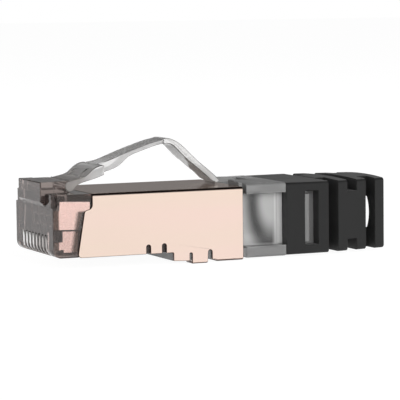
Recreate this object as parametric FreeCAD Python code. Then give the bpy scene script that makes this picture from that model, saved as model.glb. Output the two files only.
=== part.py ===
import FreeCAD, Part
import math
import os

# Shielded 8P8C cable plug, millimetres.
# Design axes: X from the nose to the cable end, Y across, Z up, nose bottom at Z 0.

V = FreeCAD.Vector

# Plug body
body_width = 11.68
body_height = 6.60
body_rear = 21.30
nose_round = 0.90
fit_gap = 0.03
corner_relief_width = 0.52
corner_relief_depth = 0.50
corner_relief_low = 5.24

# Shield sheet
sheet = 0.25
shield_front = 2.78
shield_top_front = 4.40
shield_rear = 21.60
shield_low = -0.08
bend_radius = 0.35
groove = 0.14
step_high = 5.45
step_low = 4.53
step_round = 0.50
step_hollow = 0.40
front_round = 0.38
skirt_front = 13.50
skirt_low = -1.05
relief_front = 15.36
relief_rear = 15.64
tab_rear = 17.44
tab_bottom = -1.38
tab_reach = 1.75
flap_front = 17.94
flap_floor_front = 18.50
flap_low = -1.27
flap_reach = 2.60
flap_bend = 0.28
slot_half = 0.23
side_slots = [(10.65, 0.90), (12.44, 0.94)]
flap_slot_front = 17.50

# Contacts
contact_count = 8
contact_pitch = 1.02
contact_thickness = 0.35
contact_fit = 0.02
slot_mouth_width = 0.56
slot_mouth_depth = 0.95
slot_mouth_top = 2.28
blade_front = 1.68
blade_rear = 5.60
blade_bottom = 0.38
blade_top = 2.58
blade_round = 0.60
point_half = 0.30
point_places = [4.00, 5.00]
wire_hole_radius = 0.50
wire_row_low = 3.35
wire_row_high = 4.45
wire_hole_front = 3.50

# Wire cavity and load bar
cavity_front = 7.00
cavity_width = 9.20
cavity_bottom = 1.20
cavity_top = 5.60
load_bar_length = 3.60
load_bar_fit = 0.04
load_bar_lead = 0.20

# Latch, with heights counted from the top of the body
latch_front = -0.50
latch_block_rear = 1.03
latch_block_width = 7.04
latch_block_drop = 0.85
latch_width = 6.12
latch_rise = 1.20
latch_gap = 0.02
latch_arm_width = 3.20
hinge_x = 3.00
hinge_rise = 0.60
hinge_radius = 0.55
hinge_fit = 0.04
apex_x = 14.45
apex_rise = 4.85
apex_radius = 0.24
apex_fit = 0.03
corner_round = 0.12
shoulder_top = [(3.00, 1.17), (3.90, 1.37), (4.70, 1.62), (5.22, 2.02), (5.72, 2.42), (6.30, 2.66), (6.86, 2.70)]
shoulder_low = [(6.86, 1.68), (6.34, 1.48), (5.22, 1.15), (3.98, 0.76), (3.20, 0.09)]
front_arm_top = [(5.20, 2.06), (6.00, 2.54), (7.50, 2.98), (9.20, 3.60), (11.50, 4.40), (13.10, 4.88), (14.22, 5.11)]
front_arm_low = [(14.22, 4.64), (13.20, 4.42), (11.50, 3.88), (10.20, 3.36), (9.20, 2.54), (8.00, 2.02), (5.60, 1.40)]
rear_arm_top = [(14.45, 5.10), (15.10, 5.00), (16.10, 4.36), (17.30, 3.40), (19.04, 1.99), (20.20, 1.00)]
rear_arm_tip = [(20.60, 0.58), (20.66, 0.38), (20.50, 0.24), (20.22, 0.24)]
rear_arm_low = [(19.70, 0.55), (18.50, 1.62), (17.00, 2.82), (16.10, 3.68), (15.20, 4.48), (14.45, 4.61)]

# Rear cable holder
holder_front = 21.64
holder_rear = 26.80
holder_width = 11.24
holder_bottom = -1.14
holder_top = 6.84
holder_crown = 0.30
holder_round = 0.30
holder_bore = 3.00
axis_z = 2.90
rail_front = 22.08
rail_inner_low = 0.08
rail_inner_high = 5.75
side_recess = 1.00
floor_front = 13.45
floor_bottom = -0.98
floor_step = 17.88
pocket_gap = 0.20
pocket_rear = 24.20
pocket_floor = 6.52
tongue_rear = 31.20
tongue_width = 8.80
tongue_bottom = -0.60
tongue_top = 6.30

# Bend relief boot
boot_front = 26.82
boot_width = 11.30
boot_flare = 0.21
boot_bottom = -1.08
boot_top = 6.81
boot_front_part_bottom = -1.04
boot_crown = 0.15
boot_round = 0.36
boot_end_round = 0.16
boot_fit = 0.04
passage_radius = 3.28
rib_front = 33.02
rib_pitch = 1.248
rib_bottom = -1.01
rib_top = 6.79
rib_spread = 0.13
rib_taper = 0.19
rib_crown = 0.12
gap_front = 31.83
boot_rear = rib_front + 5 * rib_pitch
window_front = 29.02
window_rear = 30.61
window_bottom = -0.07
window_top = 5.80
lug_length = 0.83
lug_shortfall = 0.27
lug_chamfer = 0.25
lug_sink = 0.25
spines = (2.35, 2.80)
side_gaps = [(gap_front, rib_front, spines[0])]
side_gaps += [(rib_front + 3 * rib_pitch, rib_front + 4 * rib_pitch, spines[1])]
notch_front = rib_front + rib_pitch
notch_rear = rib_front + 2 * rib_pitch
notch_low = 0.28
notch_high = 5.55

# Whole part: the origin sits under the middle of the bounding box
origin_x = (latch_front + boot_rear) / 2
shift = V(-origin_x, 0, -tab_bottom)


def box(x0, x1, y0, y1, z0, z1):
    return Part.makeBox(x1 - x0, y1 - y0, z1 - z0, V(x0, y0, z0))


def wide_box(x0, x1, width, z0, z1):
    return box(x0, x1, -width / 2, width / 2, z0, z1)


def side_prism(points, width, y_mid=0.0):
    # closed side view drawn in X and Z, drawn out across the width
    y0 = y_mid - width / 2
    loop = [V(x, y0, z) for x, z in points]
    wire = Part.makePolygon(loop + [loop[0]])
    return Part.Face(wire).extrude(V(0, width, 0))


def smooth_line(points, y):
    # smooth curve through points whose heights are counted from the top of the body
    curve = Part.BSplineCurve()
    curve.interpolate([V(x, y, body_height + rise) for x, rise in points])
    return curve.toShape()


def smooth_prism(parts, width):
    # closed side view of smooth lines, each starting near the end of the one before
    y = -width / 2
    edges = []
    for points in parts:
        edges.append(smooth_line(points, y))
    for i, points in enumerate(parts):
        x0, rise0 = points[-1]
        x1, rise1 = parts[(i + 1) % len(parts)][0]
        if abs(x1 - x0) + abs(rise1 - rise0) > 0.001:
            ends = (V(x0, y, body_height + rise0), V(x1, y, body_height + rise1))
            edges.append(Part.makeLine(ends[0], ends[1]))
    wire = Part.Wire(Part.sortEdges(edges)[0])
    return Part.Face(wire).extrude(V(0, width, 0))


def cross_tube(x, z, radius, width):
    return Part.makeCylinder(radius, width, V(x, -width / 2, z), V(0, 1, 0))


def end_section(x, width, low, high, crown, radius):
    # rounded outline across the part, its top rising by crown in the middle
    half = width / 2
    r = radius
    k = r * (1 - math.sqrt(0.5))
    corners = [(-half, low, 1, 1), (half, low, -1, 1), (half, high, -1, -1), (-half, high, 1, -1)]
    starts = []
    for y, z, sy, sz in corners:
        upright = V(x, y, z + sz * r)
        flat = V(x, y + sy * r, z)
        mid = V(x, y + sy * k, z + sz * k)
        starts.append((upright, mid, flat))
    top_mid = V(x, 0, high + crown)
    edges = [Part.Arc(starts[0][0], starts[0][1], starts[0][2]).toShape()]
    edges.append(Part.makeLine(starts[0][2], starts[1][2]))
    edges.append(Part.Arc(starts[1][2], starts[1][1], starts[1][0]).toShape())
    edges.append(Part.makeLine(starts[1][0], starts[2][0]))
    edges.append(Part.Arc(starts[2][0], starts[2][1], starts[2][2]).toShape())
    edges.append(Part.Arc(starts[2][2], top_mid, starts[3][2]).toShape())
    edges.append(Part.Arc(starts[3][2], starts[3][1], starts[3][0]).toShape())
    edges.append(Part.makeLine(starts[3][0], starts[0][0]))
    return Part.Wire(edges)


def arc_points(x, z, radius, start, end, steps):
    points = []
    for i in range(steps + 1):
        angle = math.radians(start + (end - start) * i / steps)
        points.append((x + radius * math.cos(angle), z + radius * math.sin(angle)))
    return points


def contact_y(index):
    return (index - (contact_count - 1) / 2) * contact_pitch


def wire_z(index):
    return wire_row_low if index % 2 == 0 else wire_row_high


def long_edges(shape, low, high):
    # edges that run along X with their middles between two heights
    return [
        e for e in shape.Edges
        if abs(e.tangentAt(e.FirstParameter).x) > 0.9 and low < e.CenterOfMass.z < high
    ]


def shield_side_points(grow=0.0):
    # front edge of the sheet from the top down; grow moves it forward
    top = shield_top_front - grow
    low = shield_front - grow
    points = [(top, body_height + 1.0), (top, step_high)]
    points += arc_points(top - step_round, step_high, step_round, 0, -80, 6)
    points += arc_points(top - step_round, step_low, step_hollow, 95, 170, 5)
    points += arc_points(low + front_round, shield_low + front_round, front_round, 175, 270, 6)
    return points


def make_shield():
    half = body_width / 2
    outer = wide_box(shield_front, shield_rear, body_width, tab_bottom, body_height)
    outer = outer.makeFillet(bend_radius, long_edges(outer, body_height - 0.01, body_height + 0.01))
    inner = wide_box(shield_front - 1, shield_rear + 1, body_width - 2 * sheet,
                     tab_bottom - 1, body_height - sheet)
    inner = inner.makeFillet(bend_radius - sheet, long_edges(inner, 0, body_height))
    skin = outer.cut(inner)
    outline = shield_side_points()
    outline += [(skirt_front, shield_low), (skirt_front, skirt_low + 0.08), (relief_front, skirt_low)]
    outline += [(relief_front, -0.20), (relief_rear, -0.20), (relief_rear, tab_bottom)]
    outline += [(tab_rear, tab_bottom), (flap_slot_front, -0.20)]
    slot_mid = (flap_slot_front + flap_front) / 2
    outline += arc_points(slot_mid, -0.20, flap_front - slot_mid, 150, 0, 5)
    outline += [(flap_front, skirt_low), (flap_floor_front, skirt_low), (flap_floor_front, flap_low)]
    outline += [(shield_rear, flap_low)]
    outline += [(shield_rear, body_height + 1.0)]
    skin = skin.common(side_prism(outline, body_width + 2))
    for slot_x, slot_top in side_slots:
        skin = skin.cut(wide_box(slot_x - slot_half, slot_x + slot_half, body_width + 2,
                                 -1, slot_top - slot_half))
        skin = skin.cut(cross_tube(slot_x, slot_top - slot_half, slot_half, body_width + 2))
    for side in (-1, 1):
        edge = side * half
        flap = sorted((edge, side * (half - flap_reach)))
        skin = skin.fuse(box(flap_floor_front, shield_rear, flap[0], flap[1], flap_low, flap_low + sheet))
        tab = sorted((edge, side * (half - tab_reach)))
        skin = skin.fuse(box(relief_rear, tab_rear, tab[0], tab[1], tab_bottom, tab_bottom + sheet))
    skin = skin.removeSplitter()
    for low, radius in ((flap_low, flap_bend), (tab_bottom, 0.20)):
        edges = [e for e in long_edges(skin, low - 0.01, low + 0.01) if abs(abs(e.CenterOfMass.y) - half) < 0.01]
        skin = skin.makeFillet(radius, edges)
    return skin


def make_housing():
    block = wide_box(0, body_rear, body_width, 0, body_height)
    nose_edge = [
        e for e in block.Edges
        if abs(e.CenterOfMass.x) < 0.01 and abs(e.CenterOfMass.z) < 0.01
    ]
    block = block.makeFillet(nose_round, nose_edge)
    # seat for the shield sheet, with a narrow groove ahead of its front edge
    skin = sheet + fit_gap
    outline = shield_side_points(groove)
    outline += [(shield_front + front_round - groove, -1.0), (body_rear + 1, -1.0)]
    outline += [(body_rear + 1, body_height + 1)]
    for side in (-1, 1):
        mid = side * (body_width / 2 - skin / 2 + 0.5)
        block = block.cut(side_prism(outline, skin + 1.0, mid))
    block = block.cut(wide_box(shield_top_front - groove, body_rear + 1, body_width + 2,
                               body_height - skin, body_height + 1))
    # front corner reliefs
    for side in (-1, 1):
        edge = sorted((side * (body_width / 2 - corner_relief_width), side * body_width))
        block = block.cut(box(-1, corner_relief_depth, edge[0], edge[1], corner_relief_low, body_height + 1))
    block = block.fuse(make_latch_base()).removeSplitter()
    # contact slots and wire holes
    for i in range(contact_count):
        y = contact_y(i)
        mouth = slot_mouth_width / 2
        block = block.cut(box(-1, slot_mouth_depth, y - mouth, y + mouth, -1, slot_mouth_top))
        grip = contact_thickness / 2 + contact_fit
        block = block.cut(box(slot_mouth_depth - 0.5, blade_rear + contact_fit, y - grip, y + grip,
                              -1, blade_top + contact_fit))
        hole = Part.makeCylinder(wire_hole_radius, cavity_front - wire_hole_front + 0.5,
                                 V(wire_hole_front, y, wire_z(i)), V(1, 0, 0))
        block = block.cut(hole)
        x0 = point_places[0] - point_half - contact_fit
        x1 = point_places[-1] + point_half + contact_fit
        block = block.cut(box(x0, x1, y - grip, y + grip, blade_top - 0.2, wire_z(i)))
    # wire cavity
    block = block.cut(wide_box(cavity_front, body_rear + 1, cavity_width, cavity_bottom, cavity_top))
    return block.removeSplitter()


def make_latch_base():
    # solid root of the latch, hollowed at the back for the lever's rounded end
    front = latch_front
    top = body_height + latch_rise
    low = body_height - latch_block_drop
    chin = body_height - latch_block_drop - 0.51
    points = [(front, top), (front, low), (0.02, chin), (0.30, chin), (0.30, body_height - 0.4)]
    points += [(latch_block_rear, body_height - 0.4), (latch_block_rear, top)]
    base = side_prism(points, latch_block_width)
    front_edges = [e for e in base.Edges if abs(e.CenterOfMass.x - front) < 0.01]
    base = base.makeFillet(corner_round, front_edges)
    base = base.fuse(wide_box(0.5, hinge_x - 0.10, latch_width, body_height - 0.4, top))
    hinge_z = body_height + hinge_rise
    base = base.cut(cross_tube(hinge_x, hinge_z, hinge_radius + hinge_fit, latch_width + 1))
    base = base.cut(wide_box(hinge_x - 0.25, hinge_x + 1.0, latch_width + 1, hinge_z, top + 1))
    return base.removeSplitter()


def make_front_arm():
    # wide shouldered part first, then the narrow ribbed arm up to the apex
    width = latch_width - 2 * latch_gap
    arm = smooth_prism([shoulder_top, shoulder_low], width)
    arm = arm.fuse(cross_tube(hinge_x, body_height + hinge_rise, hinge_radius, width))
    rear = shoulder_top[-1][0]
    corner = [
        e for e in arm.Edges
        if abs(e.CenterOfMass.x - rear) < 0.02 and abs(abs(e.CenterOfMass.y) - width / 2) < 0.01
        and abs(e.tangentAt(e.FirstParameter).z) > 0.9
    ]
    arm = arm.makeFillet(corner_round, corner)
    arm = arm.fuse(smooth_prism([front_arm_top, front_arm_low], latch_arm_width)).removeSplitter()
    return arm.cut(cross_tube(apex_x, body_height + apex_rise, apex_radius + apex_fit, latch_arm_width + 1))


def make_rear_arm():
    width = latch_arm_width - latch_gap
    arm = smooth_prism([rear_arm_top, rear_arm_tip, rear_arm_low], width)
    pin = cross_tube(apex_x, body_height + apex_rise, apex_radius, width)
    return arm.fuse(pin).removeSplitter()


def make_contact(index):
    # blade with two piercing points that reach into its wire
    y = contact_y(index)
    tip = wire_z(index)
    r = blade_round
    points = arc_points(blade_front + r, blade_bottom + r, r, 180, 270, 5)
    points += [(blade_rear - 0.3, blade_bottom), (blade_rear, blade_bottom + 0.3), (blade_rear, blade_top)]
    for place in reversed(point_places):
        points += [(place + point_half, blade_top), (place, tip), (place - point_half, blade_top)]
    points += [(blade_front, blade_top)]
    return side_prism(points, contact_thickness, y)


def make_load_bar():
    width = cavity_width - 2 * load_bar_fit
    x0 = cavity_front + load_bar_fit
    bar = wide_box(x0, x0 + load_bar_length, width,
                   cavity_bottom + load_bar_fit, cavity_top - load_bar_fit)
    bar = bar.makeChamfer(load_bar_lead, [e for e in bar.Edges if abs(e.CenterOfMass.x - x0) < 0.01])
    for i in range(contact_count):
        hole = Part.makeCylinder(wire_hole_radius, load_bar_length + 2,
                                 V(x0 - 1, contact_y(i), wire_z(i)), V(1, 0, 0))
        bar = bar.cut(hole)
    return bar


def make_cable_holder():
    # floor under the housing, railed middle and a tongue that snaps into the boot
    block = wide_box(floor_front, holder_front + 0.5, body_width - 2 * sheet - 2 * fit_gap,
                     floor_bottom, -fit_gap)
    block = block.cut(wide_box(floor_step, shield_rear + 0.04, body_width, -2,
                               flap_low + sheet + fit_gap))
    front = end_section(holder_front, holder_width, holder_bottom, holder_top, holder_crown, holder_round)
    rear = end_section(holder_rear, holder_width, holder_bottom, holder_top, 0.005, holder_round)
    middle = Part.makeLoft([front, rear], True, True)
    for side in (-1, 1):
        recess = sorted((side * (holder_width / 2 - side_recess), side * holder_width))
        middle = middle.cut(box(holder_front - 1, holder_rear + 1, recess[0], recess[1],
                                rail_inner_low, rail_inner_high))
        middle = middle.cut(box(holder_front - 1, rail_front, recess[0], recess[1], -5, 10))
    # pocket that the latch tip slides into
    pocket = latch_arm_width + 2 * pocket_gap
    middle = middle.cut(wide_box(holder_front - 1, pocket_rear, pocket, pocket_floor, holder_top + 1))
    tongue = wide_box(holder_rear - 0.5, tongue_rear, tongue_width, tongue_bottom, tongue_top)
    block = block.fuse(middle).fuse(tongue)
    low = window_bottom + lug_shortfall
    high = window_top - lug_shortfall - 0.08
    for side in (-1, 1):
        inner = tongue_width / 2 - 0.5
        outer = boot_width / 2 - lug_sink
        lug = [(window_front + boot_fit, inner), (window_front + boot_fit, outer)]
        lug += [(window_front + lug_length - lug_chamfer, outer)]
        lug += [(window_front + lug_length, outer - lug_chamfer), (window_front + lug_length, inner)]
        loop = [V(x, side * y, low) for x, y in lug]
        face = Part.Face(Part.makePolygon(loop + [loop[0]]))
        block = block.fuse(face.extrude(V(0, 0, high - low)))
    bore = Part.makeCylinder(holder_bore, tongue_rear - holder_front + 1,
                             V(holder_front, 0, axis_z), V(1, 0, 0))
    return block.cut(bore).removeSplitter()


def make_boot():
    # solid front part, a little wider at its rear, then ribs that narrow evenly
    front = end_section(boot_front, boot_width, boot_bottom, boot_top, 0.005, boot_round)
    middle = end_section(gap_front, boot_width + 2 * boot_flare, boot_front_part_bottom, boot_top, 0.005, boot_round)
    boot = Part.makeLoft([front, middle], True, True)
    start_width = boot_width + 2 * (rib_spread + rib_taper * (rib_front - gap_front))
    end_width = boot_width + 2 * (rib_spread - rib_taper * (boot_rear - rib_front))
    start = end_section(gap_front, start_width, rib_bottom, rib_top, rib_crown, boot_round)
    end = end_section(boot_rear, end_width, rib_bottom, rib_top, boot_crown, boot_round)
    ribs = Part.makeLoft([start, end], True, True)
    end_edges = [e for e in ribs.Edges if abs(e.BoundBox.XMin - boot_rear) < 0.001]
    ribs = ribs.makeFillet(boot_end_round, end_edges)
    boot = boot.fuse(ribs)
    # pocket for the holder's tongue
    boot = boot.cut(wide_box(boot_front - 1, tongue_rear + 0.10, tongue_width + 2 * boot_fit,
                             tongue_bottom - boot_fit, tongue_top + boot_fit))
    # round cable passage
    length = boot_rear - tongue_rear + 2
    boot = boot.cut(Part.makeCylinder(passage_radius, length, V(tongue_rear, 0, axis_z), V(1, 0, 0)))
    boot = boot.cut(wide_box(window_front, window_rear, 20, window_bottom, window_top))
    # relief gaps from both sides, and a notch from above and below between them
    for x0, x1, spine in side_gaps:
        boot = boot.cut(box(x0, x1, spine, 10, -3, 10))
        boot = boot.cut(box(x0, x1, -10, -spine, -3, 10))
    boot = boot.cut(wide_box(notch_front, notch_rear, 20, notch_high, 10))
    boot = boot.cut(wide_box(notch_front, notch_rear, 20, -3, notch_low))
    return boot.removeSplitter()


def save(name, shape):
    shape = shape.copy()
    shape.translate(shift)
    if not shape.isValid() or len(shape.Solids) != 1:
        print("check", name, shape.isValid(), len(shape.Solids))
    shape.exportStep("parts/" + name + ".step")
    box_size = shape.BoundBox
    print(name, round(box_size.XLength, 2), round(box_size.YLength, 2), round(box_size.ZLength, 2))


os.makedirs("parts", exist_ok=True)
save("plug_housing", make_housing())
save("latch_front_arm", make_front_arm())
save("latch_rear_arm", make_rear_arm())
save("shield", make_shield())
save("load_bar", make_load_bar())
save("cable_holder", make_cable_holder())
save("boot", make_boot())
for number in range(contact_count):
    save("contact_" + str(number + 1), make_contact(number))
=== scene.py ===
import bpy
import bmesh
import math
from mathutils import Matrix, Vector


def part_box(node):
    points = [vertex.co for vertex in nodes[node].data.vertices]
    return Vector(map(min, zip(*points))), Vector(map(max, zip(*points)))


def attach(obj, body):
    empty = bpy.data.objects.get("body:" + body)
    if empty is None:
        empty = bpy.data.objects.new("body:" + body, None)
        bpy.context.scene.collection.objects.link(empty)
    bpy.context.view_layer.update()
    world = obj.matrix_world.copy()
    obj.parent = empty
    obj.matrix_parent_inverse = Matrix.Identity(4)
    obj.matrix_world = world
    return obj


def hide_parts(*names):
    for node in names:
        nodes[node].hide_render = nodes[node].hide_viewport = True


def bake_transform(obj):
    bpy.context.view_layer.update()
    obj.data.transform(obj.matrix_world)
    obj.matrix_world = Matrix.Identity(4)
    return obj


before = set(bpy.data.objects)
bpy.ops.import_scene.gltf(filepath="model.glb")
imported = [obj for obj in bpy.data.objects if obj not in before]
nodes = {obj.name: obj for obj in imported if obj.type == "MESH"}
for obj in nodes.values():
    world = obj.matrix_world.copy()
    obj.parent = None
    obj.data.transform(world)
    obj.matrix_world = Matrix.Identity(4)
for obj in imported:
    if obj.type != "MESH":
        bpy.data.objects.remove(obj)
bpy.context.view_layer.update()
mm = 0.001
noseX, baseZ = -19.38, 1.38    # the nose's front plane and the body's underside, in millimetres
flatAngle = 0.8    # faces that turn by less than this, in degrees, are made one
print("frame loaded:", len(nodes), "solids")


def linkObject(name, data):
    added = bpy.data.objects.new(name, data)
    bpy.context.scene.collection.objects.link(added)
    return added


def newPiece(name, bm):
    # a finished bmesh as a piece of its own
    mesh = bpy.data.meshes.new(name)
    bm.to_mesh(mesh)
    bm.free()
    return linkObject(name, mesh)


def mergeFaces(bm, reach):
    # doubled corners joined, then triangles in one plane made one face
    bmesh.ops.remove_doubles(bm, verts=bm.verts, dist=reach)
    bmesh.ops.dissolve_limit(bm, angle_limit=math.radians(flatAngle), verts=bm.verts, edges=bm.edges)


def mergedCopy(nodeName, newName):
    # a solid's loose triangles joined into clean faces, as a new piece
    mesh = nodes[nodeName].data.copy()
    mesh.name = newName
    bm = bmesh.new()
    bm.from_mesh(mesh)
    mergeFaces(bm, reach=0.002 * mm)
    bmesh.ops.recalc_face_normals(bm, faces=bm.faces)
    bm.to_mesh(mesh)
    bm.free()
    return linkObject(newName, mesh)


def raiseOutline(bm, outline, near, far):
    # flat outline in X and Z, in the nose's own millimetres, drawn out across the part
    face = bm.faces.new([bm.verts.new(((noseX + x) * mm, near, (baseZ + z) * mm)) for x, z in outline])
    grown = bmesh.ops.extrude_face_region(bm, geom=[face])
    moved = [v for v in grown["geom"] if isinstance(v, bmesh.types.BMVert)]
    bmesh.ops.translate(bm, verts=moved, vec=(0, far - near, 0))


def softenEdges(piece, width, segments=2, angle=28, clamp=True):
    # fine moulded or stamped radius on the sharp edges only
    for face in piece.data.polygons:
        face.use_smooth = True
    bevel = piece.modifiers.new("edgeRadius", "BEVEL")
    bevel.width = width
    bevel.segments = segments
    bevel.limit_method = "ANGLE"
    bevel.angle_limit = math.radians(angle)
    bevel.profile = 0.5
    bevel.miter_outer = "MITER_ARC"
    bevel.use_clamp_overlap = clamp    # off on pieces whose very short edges would hold every radius back
    evenShading = piece.modifiers.new("evenShading", "WEIGHTED_NORMAL")
    evenShading.keep_sharp = True


def paint(piece, material):
    piece.data.materials.clear()
    piece.data.materials.append(material)


def addNode(tree, kind, **settings):
    node = tree.nodes.new(kind)
    for key, value in settings.items():
        setattr(node, key, value)
    return node


def setInputs(node, **values):
    for key, value in values.items():
        node.inputs[key.replace("_", " ")].default_value = value
    return node


def plugIn(tree, value, socket):
    # a socket is linked, and anything else is written into the input
    if hasattr(value, "is_linked"):
        tree.links.new(value, socket)
    else:
        socket.default_value = value


def calculate(tree, operation, *values, clamp=False):
    # each value is a number or a socket
    node = addNode(tree, "ShaderNodeMath", operation=operation, use_clamp=clamp)
    for value, socket in zip(values, node.inputs):
        plugIn(tree, value, socket)
    return node.outputs[0]


def mapTo(tree, value, low, high, start=0.0, end=1.0):
    ranged = addNode(tree, "ShaderNodeMapRange")
    setInputs(ranged, From_Min=start, From_Max=end, To_Min=low, To_Max=high)
    tree.links.new(value, ranged.inputs["Value"])
    return ranged.outputs[0]


def mixColors(tree, factor, colorA, colorB):
    # factor is a socket; each colour is three numbers or a socket
    mix = addNode(tree, "ShaderNodeMix", data_type="RGBA")
    tree.links.new(factor, mix.inputs[0])
    for slot, color in ((6, colorA), (7, colorB)):
        if not hasattr(color, "is_linked"):
            color = (*color, 1)
        plugIn(tree, color, mix.inputs[slot])
    return mix.outputs[2]


def readVector(tree, label):
    # X, Y and Z of a texture coordinate: Object for a place, Normal for the way a face looks
    split = addNode(tree, "ShaderNodeSeparateXYZ")
    tree.links.new(addNode(tree, "ShaderNodeTexCoord").outputs[label], split.inputs[0])
    return split.outputs


def addBump(tree, shader, height, strength, depth):
    bump = setInputs(addNode(tree, "ShaderNodeBump"), Strength=strength, Distance=depth * mm)
    tree.links.new(height, bump.inputs["Height"])
    tree.links.new(bump.outputs["Normal"], shader.inputs["Normal"])


def newGroup(name, inputs, outputs):
    # every input and output of these groups is a plain number
    group = bpy.data.node_groups.new(name, "ShaderNodeTree")
    for label, value in inputs.items():
        socket = group.interface.new_socket(name=label, in_out="INPUT", socket_type="NodeSocketFloat")
        socket.default_value = value
    for label in outputs:
        group.interface.new_socket(name=label, in_out="OUTPUT", socket_type="NodeSocketFloat")
    source = group.nodes.new("NodeGroupInput")
    result = group.nodes.new("NodeGroupOutput")
    return group, source, result


def useGroup(tree, group, **values):
    node = tree.nodes.new("ShaderNodeGroup")
    node.node_tree = group
    return setInputs(node, **values)


def newMaterial(name):
    material = bpy.data.materials.new(name)
    material.use_nodes = True
    tree = material.node_tree
    tree.nodes.clear()
    output = tree.nodes.new("ShaderNodeOutputMaterial")
    shader = tree.nodes.new("ShaderNodeBsdfPrincipled")
    tree.links.new(shader.outputs["BSDF"], output.inputs["Surface"])
    return material, tree, shader, output


narrowSpan, wideSpan = (0.35, 0.65), (0.3, 0.7)    # noise values that are taken as lowest and highest
upSpan = (0.5, 0.8)    # how far a face looks up, from where it begins to count to where it fully does
sideSpan = (0.6, 0.8)    # the same for a face that looks to either side


def makeGrainGroup():
    # fine grain and soft, larger patches, their sizes in millimetres; Stretch draws both out along X
    inputs = {"Size": 0.1, "Patch": 4.0, "Stretch": 1.0}
    group, source, result = newGroup("surfaceGrain", inputs, ["Grain", "Patches"])
    links = group.links
    place = addNode(group, "ShaderNodeTexCoord")
    for sizeName, outName, detail in (("Size", "Grain", 3.0), ("Patch", "Patches", 2.0)):
        across = calculate(group, "DIVIDE", 1.0 / mm, source.outputs[sizeName])
        along = calculate(group, "DIVIDE", across, source.outputs["Stretch"])
        stretched = addNode(group, "ShaderNodeCombineXYZ")
        for value, socket in zip((along, across, across), stretched.inputs):
            links.new(value, socket)
        scaled = addNode(group, "ShaderNodeVectorMath", operation="MULTIPLY")
        links.new(place.outputs["Object"], scaled.inputs[0])
        links.new(stretched.outputs[0], scaled.inputs[1])
        noise = setInputs(addNode(group, "ShaderNodeTexNoise"), Scale=1.0, Detail=detail, Roughness=0.55)
        links.new(scaled.outputs[0], noise.inputs["Vector"])
        links.new(noise.outputs["Fac"], result.inputs[outName])
    return group


def makeEdgeGroup():
    # mask that is bright along sharp edges; Radius is in millimetres
    group, source, result = newGroup("edgeShadeMask", {"Radius": 0.1, "Sharpness": 2.0}, ["Mask"])
    links = group.links
    rounded = addNode(group, "ShaderNodeBevel", samples=4)
    links.new(calculate(group, "MULTIPLY", source.outputs["Radius"], mm), rounded.inputs["Radius"])
    plain = addNode(group, "ShaderNodeNewGeometry")
    dot = addNode(group, "ShaderNodeVectorMath", operation="DOT_PRODUCT")
    links.new(rounded.outputs["Normal"], dot.inputs[0])
    links.new(plain.outputs["Normal"], dot.inputs[1])
    bend = calculate(group, "SUBTRACT", 1.0, dot.outputs["Value"])
    strong = calculate(group, "MULTIPLY", bend, source.outputs["Sharpness"], clamp=True)
    links.new(strong, result.inputs["Mask"])
    return group


def makeDustGroup():
    # thin specks that settle on faces which look up; Speck is in millimetres
    group, source, result = newGroup("settledDust", {"Amount": 0.2, "Speck": 0.3}, ["Mask"])
    links = group.links
    noise = setInputs(addNode(group, "ShaderNodeTexNoise"), Detail=4.0, Roughness=0.7)
    links.new(addNode(group, "ShaderNodeTexCoord").outputs["Object"], noise.inputs["Vector"])
    links.new(calculate(group, "DIVIDE", 1.0 / mm, source.outputs["Speck"]), noise.inputs["Scale"])
    upward = mapTo(group, readVector(group, "Normal")["Z"], 0.0, 1.0, start=0.3, end=1.0)
    specks = mapTo(group, noise.outputs["Fac"], 0.0, 1.0, start=0.5, end=0.75)
    both = calculate(group, "MULTIPLY", upward, specks)
    scaled = calculate(group, "MULTIPLY", both, source.outputs["Amount"], clamp=True)
    links.new(scaled, result.inputs["Mask"])
    return group


def makeFieldGroup():
    # soft-edged rectangle on the two side walls, given along X and Z in millimetres
    inputs = {"Front": 0.0, "Rear": 0.0, "Low": 0.0, "High": 0.0, "Soft": 0.3}
    group, source, result = newGroup("wallField", inputs, ["Mask"])
    point = readVector(group, "Object")
    facing = readVector(group, "Normal")
    total = mapTo(group, calculate(group, "ABSOLUTE", facing["Y"]), 0.0, 1.0, *sideSpan)
    for axis, label, sign in (("X", "Front", 1), ("X", "Rear", -1), ("Z", "Low", 1), ("Z", "High", -1)):
        inMm = calculate(group, "MULTIPLY", point[axis], sign / mm)
        start = calculate(group, "MULTIPLY", source.outputs[label], -sign)
        past = calculate(group, "ADD", inMm, start)
        ramp = calculate(group, "DIVIDE", past, source.outputs["Soft"])
        even = calculate(group, "ADD", ramp, 0.5, clamp=True)    # half way at the rectangle's own line
        total = calculate(group, "MULTIPLY", total, even)
    group.links.new(total, result.inputs["Mask"])
    return group


def makeRingGroup():
    # soft oval ring in X and Z, its centre and half sizes in millimetres, its width a share of them
    names = ("Middle X", "Middle Z", "Reach X", "Reach Z", "Width")
    group, source, result = newGroup("wallRing", dict.fromkeys(names, 1.0), ["Mask"])
    point = readVector(group, "Object")
    squares = []
    for axis in ("X", "Z"):
        inMm = calculate(group, "DIVIDE", point[axis], mm)
        offset = calculate(group, "SUBTRACT", inMm, source.outputs["Middle " + axis])
        share = calculate(group, "DIVIDE", offset, source.outputs["Reach " + axis])
        squares.append(calculate(group, "MULTIPLY", share, share))
    radius = calculate(group, "SQRT", calculate(group, "ADD", *squares))
    away = calculate(group, "ABSOLUTE", calculate(group, "SUBTRACT", radius, 1.0))
    ring = addNode(group, "ShaderNodeMapRange", interpolation_type="SMOOTHSTEP")
    setInputs(ring, To_Min=1.0, To_Max=0.0)
    group.links.new(calculate(group, "DIVIDE", away, source.outputs["Width"]), ring.inputs["Value"])
    group.links.new(ring.outputs[0], result.inputs["Mask"])
    return group


grainGroup = makeGrainGroup()
edgeGroup = makeEdgeGroup()
dustGroup = makeDustGroup()
fieldGroup = makeFieldGroup()
ringGroup = makeRingGroup()

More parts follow.
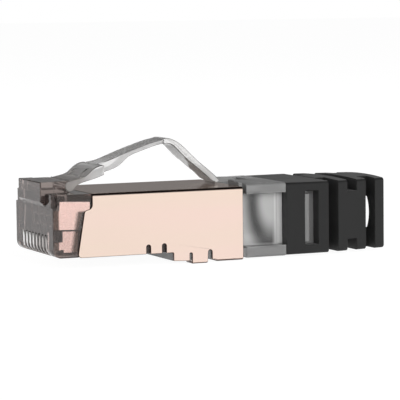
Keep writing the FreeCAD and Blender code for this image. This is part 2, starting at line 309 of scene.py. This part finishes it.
# in a look, each Span is along X in millimetres, and each Turn is how far a face looks along an axis
housingPlasticLook = {
    "tint": (0.54, 0.495, 0.475), "tintPatch": (0.48, 0.435, 0.415), "shine": (0.74, 0.60, 0.57),
    "ior": 1.45, "clear": 0.92, "rough": (0.06, 0.12), "absorb": 0.20, "absorbTint": (0.50, 0.44, 0.42),
    "paintedFrontShade": (0.43, 0.355, 0.335), "frontTurn": (-0.95, -0.75),
    # painted light: lighter patches on the side walls
    "paintedLightFields": [
        {"front": -18.62, "rear": -15.2, "low": 4.22, "high": 7.32, "soft": 0.12, "tint": (0.67, 0.64, 0.63)},
        {"front": -19.34, "rear": -16.8, "low": 1.9, "high": 4.2, "soft": 0.12, "tint": (0.60, 0.57, 0.56)},
    ],
}
holderPlasticLook = {
    "tint": (0.38, 0.38, 0.378), "tintPatch": (0.34, 0.34, 0.338), "shine": (1.0, 1.0, 1.0),
    "ior": 1.48, "clear": 0.48, "rough": (0.10, 0.18), "absorb": 0.02, "absorbTint": (0.55, 0.54, 0.53),
    # painted light: a lighter panel and thin light strips on the side walls
    "paintedLightFields": [
        {"front": 1.90, "rear": 7.90, "low": 1.45, "high": 7.15, "soft": 0.25, "tint": (0.72, 0.72, 0.715)},
        {"front": 6.42, "rear": 6.62, "low": 1.60, "high": 7.00, "soft": 0.10, "tint": (0.95, 0.95, 0.945)},
        {"front": 6.80, "rear": 7.90, "low": 1.60, "high": 7.00, "soft": 0.10, "tint": (0.97, 0.97, 0.965)},
    ],
    "ring": {
        "x": 6.12, "z": 6.33, "reachX": 2.25, "reachZ": 4.70, "width": 0.62, "shade": (0.09, 0.09, 0.09),
        "within": {"front": 2.00, "rear": 6.42, "low": 1.45, "high": 7.15, "soft": 0.60},
    },
}
leverPlasticLook = {
    "tint": (0.98, 0.975, 0.97), "tintPatch": (0.95, 0.945, 0.94), "shine": (1.0, 1.0, 1.0),
    "ior": 1.46, "clear": 0.56, "rough": (0.05, 0.10), "absorb": 0.02, "absorbTint": (0.50, 0.48, 0.46),
    "arms": {
        "under": (0.34, 0.33, 0.325), "underRear": (0.56, 0.545, 0.535),
        "underTurn": (-0.70, -0.35), "rearSpan": (-3.2, -2.2),
        "rimShade": (0.22, 0.215, 0.21), "rimTurn": (0.05, 0.20),
        "rimBegin": (0.15, 0.40), "rimEnd": (0.90, 0.985),
        "speck": (0.45, 0.445, 0.44), "speckNoise": (0.46, 0.56), "speckSpan": (-11.2, -10.4),
        "root": (0.50, 0.47, 0.45), "rootSpan": (-15.4, -13.4),
    },
    "grip": {"beginSpan": (-11.2, -10.4), "endSpan": (-4.8, -4.0), "rougher": 0.32},
}


def alongPart(tree, point, span, low, high):
    # value that goes from low to high over a span of X
    return mapTo(tree, point["X"], low, high, span[0] * mm, span[1] * mm)


def fieldMask(tree, field):
    return useGroup(tree, fieldGroup, Front=field["front"], Rear=field["rear"], Low=field["low"],
                    High=field["high"], Soft=field["soft"]).outputs["Mask"]


def boreShade(tree, ring):
    # painted shade of the round bore behind the wall, only inside a soft box on the wall
    oval = useGroup(tree, ringGroup, Middle_X=ring["x"], Middle_Z=ring["z"], Reach_X=ring["reachX"],
                    Reach_Z=ring["reachZ"], Width=ring["width"])
    return calculate(tree, "MULTIPLY", oval.outputs["Mask"], fieldMask(tree, ring["within"]))


def colorArms(tree, color, arms):
    point = readVector(tree, "Object")
    facing = readVector(tree, "Normal")
    # painted shade: darker undersides, paler again behind the apex
    behind = alongPart(tree, point, arms["rearSpan"], 0.0, 1.0)
    underColor = mixColors(tree, behind, arms["under"], arms["underRear"])
    color = mixColors(tree, mapTo(tree, facing["Z"], 1.0, 0.0, *arms["underTurn"]), color, underColor)
    # painted shade along the rounded upper edges of the arms
    sideways = calculate(tree, "ABSOLUTE", facing["Y"])
    begun = mapTo(tree, sideways, 0.0, 1.0, *arms["rimBegin"])
    rimShade = calculate(tree, "MULTIPLY", begun, mapTo(tree, sideways, 1.0, 0.0, *arms["rimEnd"]))
    upper = calculate(tree, "MULTIPLY", rimShade, mapTo(tree, facing["Z"], 0.0, 1.0, *arms["rimTurn"]))
    color = mixColors(tree, upper, color, arms["rimShade"])
    # specks on top, behind the root
    speck = useGroup(tree, grainGroup, Size=0.24, Patch=0.50, Stretch=1.0)
    above = mapTo(tree, facing["Z"], 0.0, 1.0, *upSpan)
    dark = mapTo(tree, speck.outputs["Grain"], 0.0, 1.0, *arms["speckNoise"])
    reached = alongPart(tree, point, arms["speckSpan"], 0.0, 1.0)
    spots = calculate(tree, "MULTIPLY", calculate(tree, "MULTIPLY", above, dark), reached)
    color = mixColors(tree, spots, color, arms["speck"])
    # the thick root is as smoky as the nose that it grows from
    return mixColors(tree, alongPart(tree, point, arms["rootSpan"], 1.0, 0.0), color, arms["root"])


def addGrip(tree, height, rough, grip):
    # grained thumb area on top of the front arm, rougher than the rest
    point = readVector(tree, "Object")
    facing = readVector(tree, "Normal")
    grain = useGroup(tree, grainGroup, Size=0.16, Patch=0.35, Stretch=1.0)
    begin = alongPart(tree, point, grip["beginSpan"], 0.0, 1.0)
    end = alongPart(tree, point, grip["endSpan"], 1.0, 0.0)
    upward = mapTo(tree, facing["Z"], 0.0, 1.0, *upSpan)
    area = calculate(tree, "MULTIPLY", calculate(tree, "MULTIPLY", begin, end), upward)
    pimples = calculate(tree, "MULTIPLY", mapTo(tree, grain.outputs["Grain"], 0.0, 1.0, *narrowSpan), area)
    rougher = calculate(tree, "MULTIPLY_ADD", area, grip["rougher"], rough)
    return calculate(tree, "ADD", height, pimples), rougher


def makeClearPlastic(name, look):
    # clear moulded plastic with a faint haze, and the painted light and shade that its look asks for
    material, tree, shader, output = newMaterial(name)
    links = tree.links
    patches = useGroup(tree, grainGroup, Size=0.30, Patch=2.6, Stretch=2.0).outputs["Patches"]
    color = mixColors(tree, patches, look["tint"], look["tintPatch"])
    rough = mapTo(tree, patches, *look["rough"], *narrowSpan)
    height = mapTo(tree, patches, 0.0, 0.12, *wideSpan)    # a share of the grain of a grip, which is 1
    for field in look.get("paintedLightFields", []):
        color = mixColors(tree, fieldMask(tree, field), color, field["tint"])    # painted light: lighter patches on the walls
    if "paintedFrontShade" in look:
        # painted shade: faces that look forward are darker and warmer
        ahead = mapTo(tree, readVector(tree, "Normal")["X"], 1.0, 0.0, *look["frontTurn"])
        color = mixColors(tree, ahead, color, look["paintedFrontShade"])
    if "ring" in look:
        # painted shade of the bore
        color = mixColors(tree, boreShade(tree, look["ring"]), color, look["ring"]["shade"])
    if "arms" in look:
        color = colorArms(tree, color, look["arms"])
    if "grip" in look:
        height, rough = addGrip(tree, height, rough, look["grip"])
    links.new(color, shader.inputs["Base Color"])
    links.new(rough, shader.inputs["Roughness"])
    shader.inputs["IOR"].default_value = look["ior"]
    shader.inputs["Specular Tint"].default_value = (*look["shine"], 1)
    shader.inputs["Transmission Weight"].default_value = look["clear"]
    addBump(tree, shader, height, strength=0.7, depth=0.06)
    volume = addNode(tree, "ShaderNodeVolumeAbsorption")
    volume.inputs["Color"].default_value = (*look["absorbTint"], 1)
    volume.inputs["Density"].default_value = look["absorb"] / mm
    links.new(volume.outputs["Volume"], output.inputs["Volume"])
    return material


def finishMetal(tree, shader, color, rough, height, strength, depth):
    # bare metal from its colour, its roughness and its fine surface
    tree.links.new(color, shader.inputs["Base Color"])
    tree.links.new(rough, shader.inputs["Roughness"])
    shader.inputs["Metallic"].default_value = 1.0
    addBump(tree, shader, height, strength, depth)


shieldMetalLook = {
    "cream": (0.875, 0.705, 0.600), "rose": (0.895, 0.695, 0.615), "rough": (0.17, 0.24),
    "edge": (0.07, 0.04, 0.035), "edgeShadeShare": 0.97, "flatTurn": (0.88, 0.985),
}


def makeShieldMetal(look):
    # satin rose plating with faint rolling lines, with painted dark shade wherever it faces neither sideways
    # nor up
    material, tree, shader, output = newMaterial("roseGoldPlate")
    grain = useGroup(tree, grainGroup, Size=0.05, Patch=3.2, Stretch=14.0)
    facing = readVector(tree, "Normal")
    flat = calculate(tree, "MAXIMUM", calculate(tree, "ABSOLUTE", facing["Y"]), facing["Z"])
    # painted shade on the bends and edges, which look neither sideways nor up
    edgeShade = mapTo(tree, flat, look["edgeShadeShare"], 0.0, *look["flatTurn"])
    patches = mapTo(tree, grain.outputs["Patches"], 0.0, 1.0, *narrowSpan)
    color = mixColors(tree, edgeShade, mixColors(tree, patches, look["cream"], look["rose"]), look["edge"])
    rough = mapTo(tree, grain.outputs["Grain"], *look["rough"], *wideSpan)
    finishMetal(tree, shader, color, rough, grain.outputs["Grain"], strength=0.10, depth=0.006)
    return material


# shades of the inner sheet, in millimetres from the nose's front and from the body's underside
liningMetalLook = {
    "rose": (0.865, 0.625, 0.565), "shadeBrown": (0.10, 0.065, 0.05), "rough": (0.22, 0.30),
    "slope": 0.17, "rearShade": (1.50, 1.90), "frontShade": (0.60, 0.74), "armLow": 4.78, "armFade": 0.1,
}


def makeLiningMetal(look):
    # the same plating on the inner sheet, with painted brown shade where it turns in at its rear and front
    material, tree, shader, output = newMaterial("roseLining")
    grain = useGroup(tree, grainGroup, Size=0.06, Patch=1.4, Stretch=4.0)
    point = readVector(tree, "Object")
    slanted = calculate(tree, "MULTIPLY_ADD", point["Z"], -look["slope"], point["X"])    # as the rear edge
    rear = mapTo(tree, slanted, 0.0, 1.0, *[(noseX + x) * mm for x in look["rearShade"]])
    armZ = look["armLow"] + baseZ
    armEdge = ((armZ - look["armFade"]) * mm, (armZ + look["armFade"]) * mm)
    shade = calculate(tree, "MULTIPLY", rear, mapTo(tree, point["Z"], 1.0, 0.0, *armEdge))
    front = alongPart(tree, point, [noseX + x for x in look["frontShade"]], 1.0, 0.0)
    color = mixColors(tree, calculate(tree, "MAXIMUM", shade, front), look["rose"], look["shadeBrown"])
    rough = mapTo(tree, grain.outputs["Grain"], *look["rough"], *wideSpan)
    finishMetal(tree, shader, color, rough, grain.outputs["Grain"], strength=0.10, depth=0.004)
    return material


contactMetalLook = {"gold": (0.96, 0.90, 0.84), "deep": (0.92, 0.84, 0.76), "rough": (0.17, 0.28)}


def makeContactMetal(look):
    # plated contact blade, slightly deeper in tone in patches
    material, tree, shader, output = newMaterial("contactGold")
    grain = useGroup(tree, grainGroup, Size=0.06, Patch=0.9, Stretch=1.0)
    patches = mapTo(tree, grain.outputs["Patches"], 0.0, 1.0, *narrowSpan)
    color = mixColors(tree, patches, look["gold"], look["deep"])
    rough = mapTo(tree, grain.outputs["Grain"], *look["rough"], *wideSpan)
    finishMetal(tree, shader, color, rough, grain.outputs["Grain"], strength=0.12, depth=0.004)
    return material


bladeMetalLook = {
    "bright": (0.98, 0.978, 0.975), "shadedSide": (0.50, 0.47, 0.455), "across": (-1.2, 1.2), "rough": (0.12, 0.24),
}


def makeBladeMetal(look):
    # polished limbs, with painted shade darkening them towards one side of the row
    material, tree, shader, output = newMaterial("bladeMetal")
    grain = useGroup(tree, grainGroup, Size=0.05, Patch=0.8, Stretch=1.0)
    across = mapTo(tree, readVector(tree, "Object")["Y"], 0.0, 1.0, *[y * mm for y in look["across"]])
    # painted shade: darker towards negative Y
    color = mixColors(tree, across, look["shadedSide"], look["bright"])
    rough = mapTo(tree, grain.outputs["Patches"], *look["rough"], *narrowSpan)
    finishMetal(tree, shader, color, rough, grain.outputs["Grain"], strength=0.08, depth=0.003)
    return material


bootRubberLook = {
    "black": (0.011, 0.011, 0.011), "faded": (0.015, 0.015, 0.015), "rough": (0.48, 0.58), "gloss": 0.31,
    "edge": (0.010, 0.010, 0.010), "edgeShadeShare": 0.6, "dust": (0.14, 0.135, 0.13),
    "top": (0.14, 0.14, 0.14), "topTurn": (0.75, 0.98),
    "wall": (0.036, 0.036, 0.036), "wallTurn": (0.75, 0.95),
}


def makeBootRubber(look):
    # matt moulded elastomer with a fine spark texture, painted light on top and across its length, painted
    # shade on its sharp edges, a trace of dust
    material, tree, shader, output = newMaterial("bootElastomer")
    grain = useGroup(tree, grainGroup, Size=0.09, Patch=3.5, Stretch=1.0)
    edges = useGroup(tree, edgeGroup, Radius=0.10, Sharpness=1.2)
    dust = useGroup(tree, dustGroup, Amount=0.10, Speck=0.22)
    facing = readVector(tree, "Normal")
    color = mixColors(tree, grain.outputs["Patches"], look["black"], look["faded"])
    # painted shade along the sharp edges
    color = mixColors(tree, mapTo(tree, edges.outputs["Mask"], 0.0, look["edgeShadeShare"]), color, look["edge"])
    # painted light: faces looking up and faces looking along the length are paler
    color = mixColors(tree, mapTo(tree, facing["Z"], 0.0, 1.0, *look["topTurn"]), color, look["top"])
    lengthwise = calculate(tree, "ABSOLUTE", facing["X"])
    color = mixColors(tree, mapTo(tree, lengthwise, 0.0, 1.0, *look["wallTurn"]), color, look["wall"])
    color = mixColors(tree, dust.outputs["Mask"], color, look["dust"])
    tree.links.new(color, shader.inputs["Base Color"])
    rough = mapTo(tree, grain.outputs["Patches"], *look["rough"], *wideSpan)
    tree.links.new(rough, shader.inputs["Roughness"])
    shader.inputs["Specular IOR Level"].default_value = look["gloss"]
    addBump(tree, shader, grain.outputs["Grain"], strength=0.25, depth=0.012)
    return material


housingPlastic = makeClearPlastic("smokyClear", housingPlasticLook)
holderPlastic = makeClearPlastic("holderClear", holderPlasticLook)
leverPlastic = makeClearPlastic("smokyLever", leverPlasticLook)
guidePlastic = makeClearPlastic("guideClear", holderPlasticLook)
shieldMetal = makeShieldMetal(shieldMetalLook)
liningMetal = makeLiningMetal(liningMetalLook)
contactMetal = makeContactMetal(contactMetalLook)
bladeMetal = makeBladeMetal(bladeMetalLook)
bootRubber = makeBootRubber(bootRubberLook)
print("materials made")

housingShape = {"edge": 0.05}
housing = mergedCopy("plug_housing", "plugHousing")
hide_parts("plug_housing")
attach(housing, "plug")
paint(housing, housingPlastic)
softenEdges(housing, housingShape["edge"] * mm)

shieldShape = {"edge": 0.085, "segments": 3}
shield = mergedCopy("shield", "shieldSheet")
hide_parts("shield")
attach(shield, "plug")
paint(shield, shieldMetal)
softenEdges(shield, shieldShape["edge"] * mm, shieldShape["segments"], clamp=False)

liningShape = {
    "depth": 0.08, "thick": 0.04,    # below the wall's face, and the sheet's own thickness
    "outlines": [
        [
            (0.12, 4.95), (0.76, 4.95), (0.83, 5.89), (4.14, 5.76), (4.14, 4.84), (3.30, 4.74),
            (2.80, 2.92), (0.12, 2.98),
        ],
        [
            (1.09, 2.79), (2.78, 2.74), (2.68, 0.58), (1.20, 0.58), (1.15, 0.90), (0.20, 0.82),
            (0.14, 1.66), (1.09, 1.69),
        ],
    ],
}


def makeLining(shape):
    # front end of the sheet inside the clear side walls, one on each side
    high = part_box("plug_housing")[1]
    side = high[1] - shape["depth"] * mm
    bm = bmesh.new()
    for outline in shape["outlines"]:
        raiseOutline(bm, outline, side, side - shape["thick"] * mm)
    bmesh.ops.mirror(bm, geom=bm.verts[:] + bm.edges[:] + bm.faces[:], axis="Y", merge_dist=0.0)
    bmesh.ops.recalc_face_normals(bm, faces=bm.faces)
    return newPiece("shieldLining", bm)


lining = makeLining(liningShape)
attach(lining, "plug")
paint(lining, liningMetal)

bladeShape = {
    "count": 8, "pitch": 1.02, "thick": 0.48, "edge": 0.03,
    "outline": [
        (0.02, 2.16), (0.02, 1.00), (0.10, 0.60), (0.33, 0.30), (0.62, 0.14), (0.90, 0.08), (0.90, 2.16),
    ],
}


def makeBlades(shape):
    # front limbs of the contacts, as they show between the ribs of the nose
    half = shape["thick"] / 2
    bm = bmesh.new()
    for number in range(shape["count"]):
        middle = (number - (shape["count"] - 1) / 2) * shape["pitch"]
        raiseOutline(bm, shape["outline"], (middle - half) * mm, (middle + half) * mm)
    bmesh.ops.recalc_face_normals(bm, faces=bm.faces)
    return newPiece("contactFronts", bm)


blades = makeBlades(bladeShape)
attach(blades, "plug")
paint(blades, bladeMetal)
softenEdges(blades, bladeShape["edge"] * mm)

holderShape = {"edge": 0.08}
holder = mergedCopy("cable_holder", "cableHolder")
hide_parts("cable_holder")
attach(holder, "plug")
paint(holder, holderPlastic)
softenEdges(holder, holderShape["edge"] * mm, clamp=False)

bootShape = {"edge": 0.06}
boot = mergedCopy("boot", "bendBoot")
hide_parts("boot")
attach(boot, "plug")
paint(boot, bootRubber)
softenEdges(boot, bootShape["edge"] * mm, clamp=False)
print("body pieces made")

leverShape = {
    "half": 1.60, "sideReach": 0.02, "edge": 0.11,    # half the width, and how near to it a side is squared
    "apex": (-4.93, 12.83), "apexRadius": 0.26,
    "crown": [
        (13.90, 11.52), (14.22, 11.74), (14.50, 11.81), (14.85, 11.79), (15.21, 11.69), (15.67, 11.48),
        (16.14, 11.18), (16.60, 10.80), (17.06, 10.35), (17.52, 9.90), (17.99, 9.47), (18.50, 8.88),
        (18.36, 8.84), (17.60, 9.48), (16.80, 10.20), (16.00, 10.82), (15.20, 11.32), (14.60, 11.50),
        (14.00, 11.50),
    ],
}


def unitePieces(base, others):
    # closed solids joined into one, and the extra ones removed
    for other in others:
        union = base.modifiers.new("join", "BOOLEAN")
        union.operation = "UNION"
        union.solver = "EXACT"
        union.object = other
    bpy.context.view_layer.update()
    joined = base.evaluated_get(bpy.context.evaluated_depsgraph_get())
    mesh = bpy.data.meshes.new_from_object(joined)
    bm = bmesh.new()
    bm.from_mesh(mesh)
    mergeFaces(bm, reach=0.004 * mm)
    bm.to_mesh(mesh)
    bm.free()
    base.modifiers.clear()
    base.data = mesh
    for other in others:
        bpy.data.objects.remove(other)


def squareSides(piece, half, reach):
    # sides that are nearly in one plane brought exactly into it
    for vertex in piece.data.vertices:
        if abs(abs(vertex.co.y) - half) < reach:
            vertex.co.y = math.copysign(half, vertex.co.y)


def makeApexRod(shape, half):
    # round core of the bend, across the lever
    x, z = shape["apex"]
    radius = shape["apexRadius"] * mm
    bm = bmesh.new()
    bmesh.ops.create_cone(bm, cap_ends=True, segments=48, radius1=radius, radius2=radius, depth=2 * half)
    bmesh.ops.rotate(bm, verts=bm.verts, cent=(0, 0, 0), matrix=Matrix.Rotation(math.radians(90), 3, "X"))
    bmesh.ops.translate(bm, verts=bm.verts, vec=(x * mm, 0, z * mm))
    return newPiece("apexPart", bm)


def makeCrown(shape, half):
    # fuller bend over the apex
    bm = bmesh.new()
    raiseOutline(bm, shape["crown"], -half, half)
    bmesh.ops.recalc_face_normals(bm, faces=bm.faces)
    return newPiece("crownPart", bm)


def makeLever(shape):
    # both arms as the one moulded spring that they are, closed over its apex
    lever = mergedCopy("latch_front_arm", "latchLever")
    rear = mergedCopy("latch_rear_arm", "rearArmPart")
    half = shape["half"] * mm
    for arm in (lever, rear):
        squareSides(arm, half, shape["sideReach"] * mm)
    unitePieces(lever, [rear, makeApexRod(shape, half), makeCrown(shape, half)])
    return lever


lever = makeLever(leverShape)
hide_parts("latch_front_arm", "latch_rear_arm")
paint(lever, leverPlastic)
softenEdges(lever, leverShape["edge"] * mm, clamp=False)
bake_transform(lever)
print("lever made")

paint(nodes["load_bar"], guidePlastic)
for number in range(bladeShape["count"]):
    paint(nodes["contact_%d" % (number + 1)], contactMetal)

# angles in degrees, lengths in millimetres
cameraLook = {
    "azimuth": -23.234, "elevation": 5.076, "roll": -0.648,
    "distance": 246.717, "target": (-0.291, 0.0, 6.200), "lens": 203.908,
}


def makeCamera(look):
    yaw = math.radians(-look["azimuth"])
    tilt = math.radians(look["elevation"])
    roll = math.radians(look["roll"])
    ahead = Vector((math.sin(yaw) * math.cos(tilt), math.cos(yaw) * math.cos(tilt), -math.sin(tilt)))
    side = Vector((math.cos(yaw), -math.sin(yaw), 0))
    up = side.cross(ahead)
    sideTurned = math.cos(roll) * side + math.sin(roll) * up
    upTurned = -math.sin(roll) * side + math.cos(roll) * up
    place = Vector(look["target"]) * mm - ahead * look["distance"] * mm
    data = bpy.data.cameras.new("viewCamera")
    data.lens = look["lens"]
    data.sensor_width = 36.0
    data.clip_start = 0.01
    data.clip_end = 20.0
    camera = linkObject("viewCamera", data)
    turn = Matrix((sideTurned, upTurned, -ahead)).transposed()
    camera.matrix_world = Matrix.Translation(place) @ turn.to_4x4()
    bpy.context.scene.camera = camera


floorLook = {
    "size": 2.5, "pale": (0.82, 0.82, 0.82), "patch": 0.98, "rough": 0.9, "gloss": 0.1,
    "paper": 1.19, "shadow": 0.20,
}


def makeFloor(look):
    # pale table top; seen directly it is white paper with a faint shadow
    bm = bmesh.new()
    bmesh.ops.create_grid(bm, x_segments=1, y_segments=1, size=look["size"])
    table = newPiece("tableTop", bm)
    material, tree, shader, output = newMaterial("paleTable")
    links = tree.links
    grain = useGroup(tree, grainGroup, Size=0.8, Patch=30.0, Stretch=1.0)
    pale = look["pale"]
    color = mixColors(tree, grain.outputs["Patches"], [c * look["patch"] for c in pale], pale)
    links.new(color, shader.inputs["Base Color"])
    shader.inputs["Roughness"].default_value = look["rough"]
    shader.inputs["Specular IOR Level"].default_value = look["gloss"]
    white = addNode(tree, "ShaderNodeEmission")
    white.inputs["Strength"].default_value = look["paper"]
    path = addNode(tree, "ShaderNodeLightPath")
    # share of the lit table that shows: all of it to diffuse light, a little of it when seen or mirrored
    direct = calculate(tree, "MAXIMUM", path.outputs["Is Camera Ray"], path.outputs["Is Transmission Ray"])
    either = calculate(tree, "MAXIMUM", direct, path.outputs["Is Glossy Ray"])
    final = addNode(tree, "ShaderNodeMixShader")
    links.new(mapTo(tree, either, 1.0, look["shadow"]), final.inputs[0])
    links.new(white.outputs[0], final.inputs[1])
    links.new(shader.outputs["BSDF"], final.inputs[2])
    links.new(final.outputs[0], output.inputs["Surface"])
    paint(table, material)


# angles in degrees, lengths in metres; strength is the brightness of a panel's face, where 1 looks white
lampLook = {
    "distance": 0.60,
    "panels": [
        {"name": "frontPanel", "azimuth": 10, "elevation": 20, "size": (0.90, 0.50), "strength": 2.6},
        {"name": "leftPanel", "azimuth": -75, "elevation": 35, "size": (0.30, 0.30), "strength": 0.5},
        {"name": "backPanel", "azimuth": -140, "elevation": 30, "size": (0.35, 0.35), "strength": 0.8},
        {"name": "rightPanel", "azimuth": 100, "elevation": 35, "size": (0.35, 0.30), "strength": 0.8},
    ],
}


def makeLamp(look, distance):
    width, height = look["size"]
    data = bpy.data.lights.new(look["name"], "AREA")
    data.shape = "RECTANGLE"
    data.size = width
    data.size_y = height
    data.energy = look["strength"] * math.pi * width * height
    turn = math.radians(look["azimuth"])
    lift = math.radians(look["elevation"])
    towards = Vector((math.sin(turn) * math.cos(lift), -math.cos(turn) * math.cos(lift), math.sin(lift)))
    facing = towards.to_track_quat("Z", "Y").to_matrix().to_4x4()
    lamp = linkObject(look["name"], data)
    lamp.matrix_world = Matrix.Translation(towards * distance) @ facing
    lamp.visible_camera = False
    lamp.visible_glossy = False


worldLook = {
    "front": 1.0, "back": 0.225, "top": 0.07,
    "frontFade": (0.30, 0.60), "backFade": (0.20, 0.70), "turn": (-0.15, 0.35),
}


def addBackground(tree, strength):
    background = setInputs(addNode(tree, "ShaderNodeBackground"), Color=(1, 1, 1, 1))
    plugIn(tree, strength, background.inputs["Strength"])
    return background.outputs[0]


def makeWorld(look):
    # white to the camera and straight through clear plastic; a dim studio that darkens overhead otherwise
    world = bpy.data.worlds.new("studio")
    bpy.context.scene.world = world
    world.use_nodes = True
    tree = world.node_tree
    tree.nodes.clear()
    links = tree.links
    output = addNode(tree, "ShaderNodeOutputWorld")
    towards = readVector(tree, "Generated")
    ahead = calculate(tree, "MULTIPLY", towards["Y"], -1.0)
    level = addNode(tree, "ShaderNodeMix", data_type="FLOAT")
    links.new(mapTo(tree, ahead, 0.0, 1.0, *look["turn"]), level.inputs[0])
    links.new(mapTo(tree, towards["Z"], look["back"], look["top"], *look["backFade"]), level.inputs[2])
    links.new(mapTo(tree, towards["Z"], look["front"], look["top"], *look["frontFade"]), level.inputs[3])
    path = addNode(tree, "ShaderNodeLightPath")
    straight = calculate(tree, "LESS_THAN", path.outputs["Glossy Depth"], 0.5)
    through = calculate(tree, "MULTIPLY", path.outputs["Is Transmission Ray"], straight)
    final = addNode(tree, "ShaderNodeMixShader")
    links.new(calculate(tree, "MAXIMUM", path.outputs["Is Camera Ray"], through), final.inputs[0])
    links.new(addBackground(tree, level.outputs[0]), final.inputs[1])
    links.new(addBackground(tree, 1.0), final.inputs[2])
    links.new(final.outputs[0], output.inputs["Surface"])


makeCamera(cameraLook)
makeFloor(floorLook)
for panel in lampLook["panels"]:
    makeLamp(panel, lampLook["distance"])
makeWorld(worldLook)
bpy.context.scene.view_settings.view_transform = "Standard"
print("stage ready")
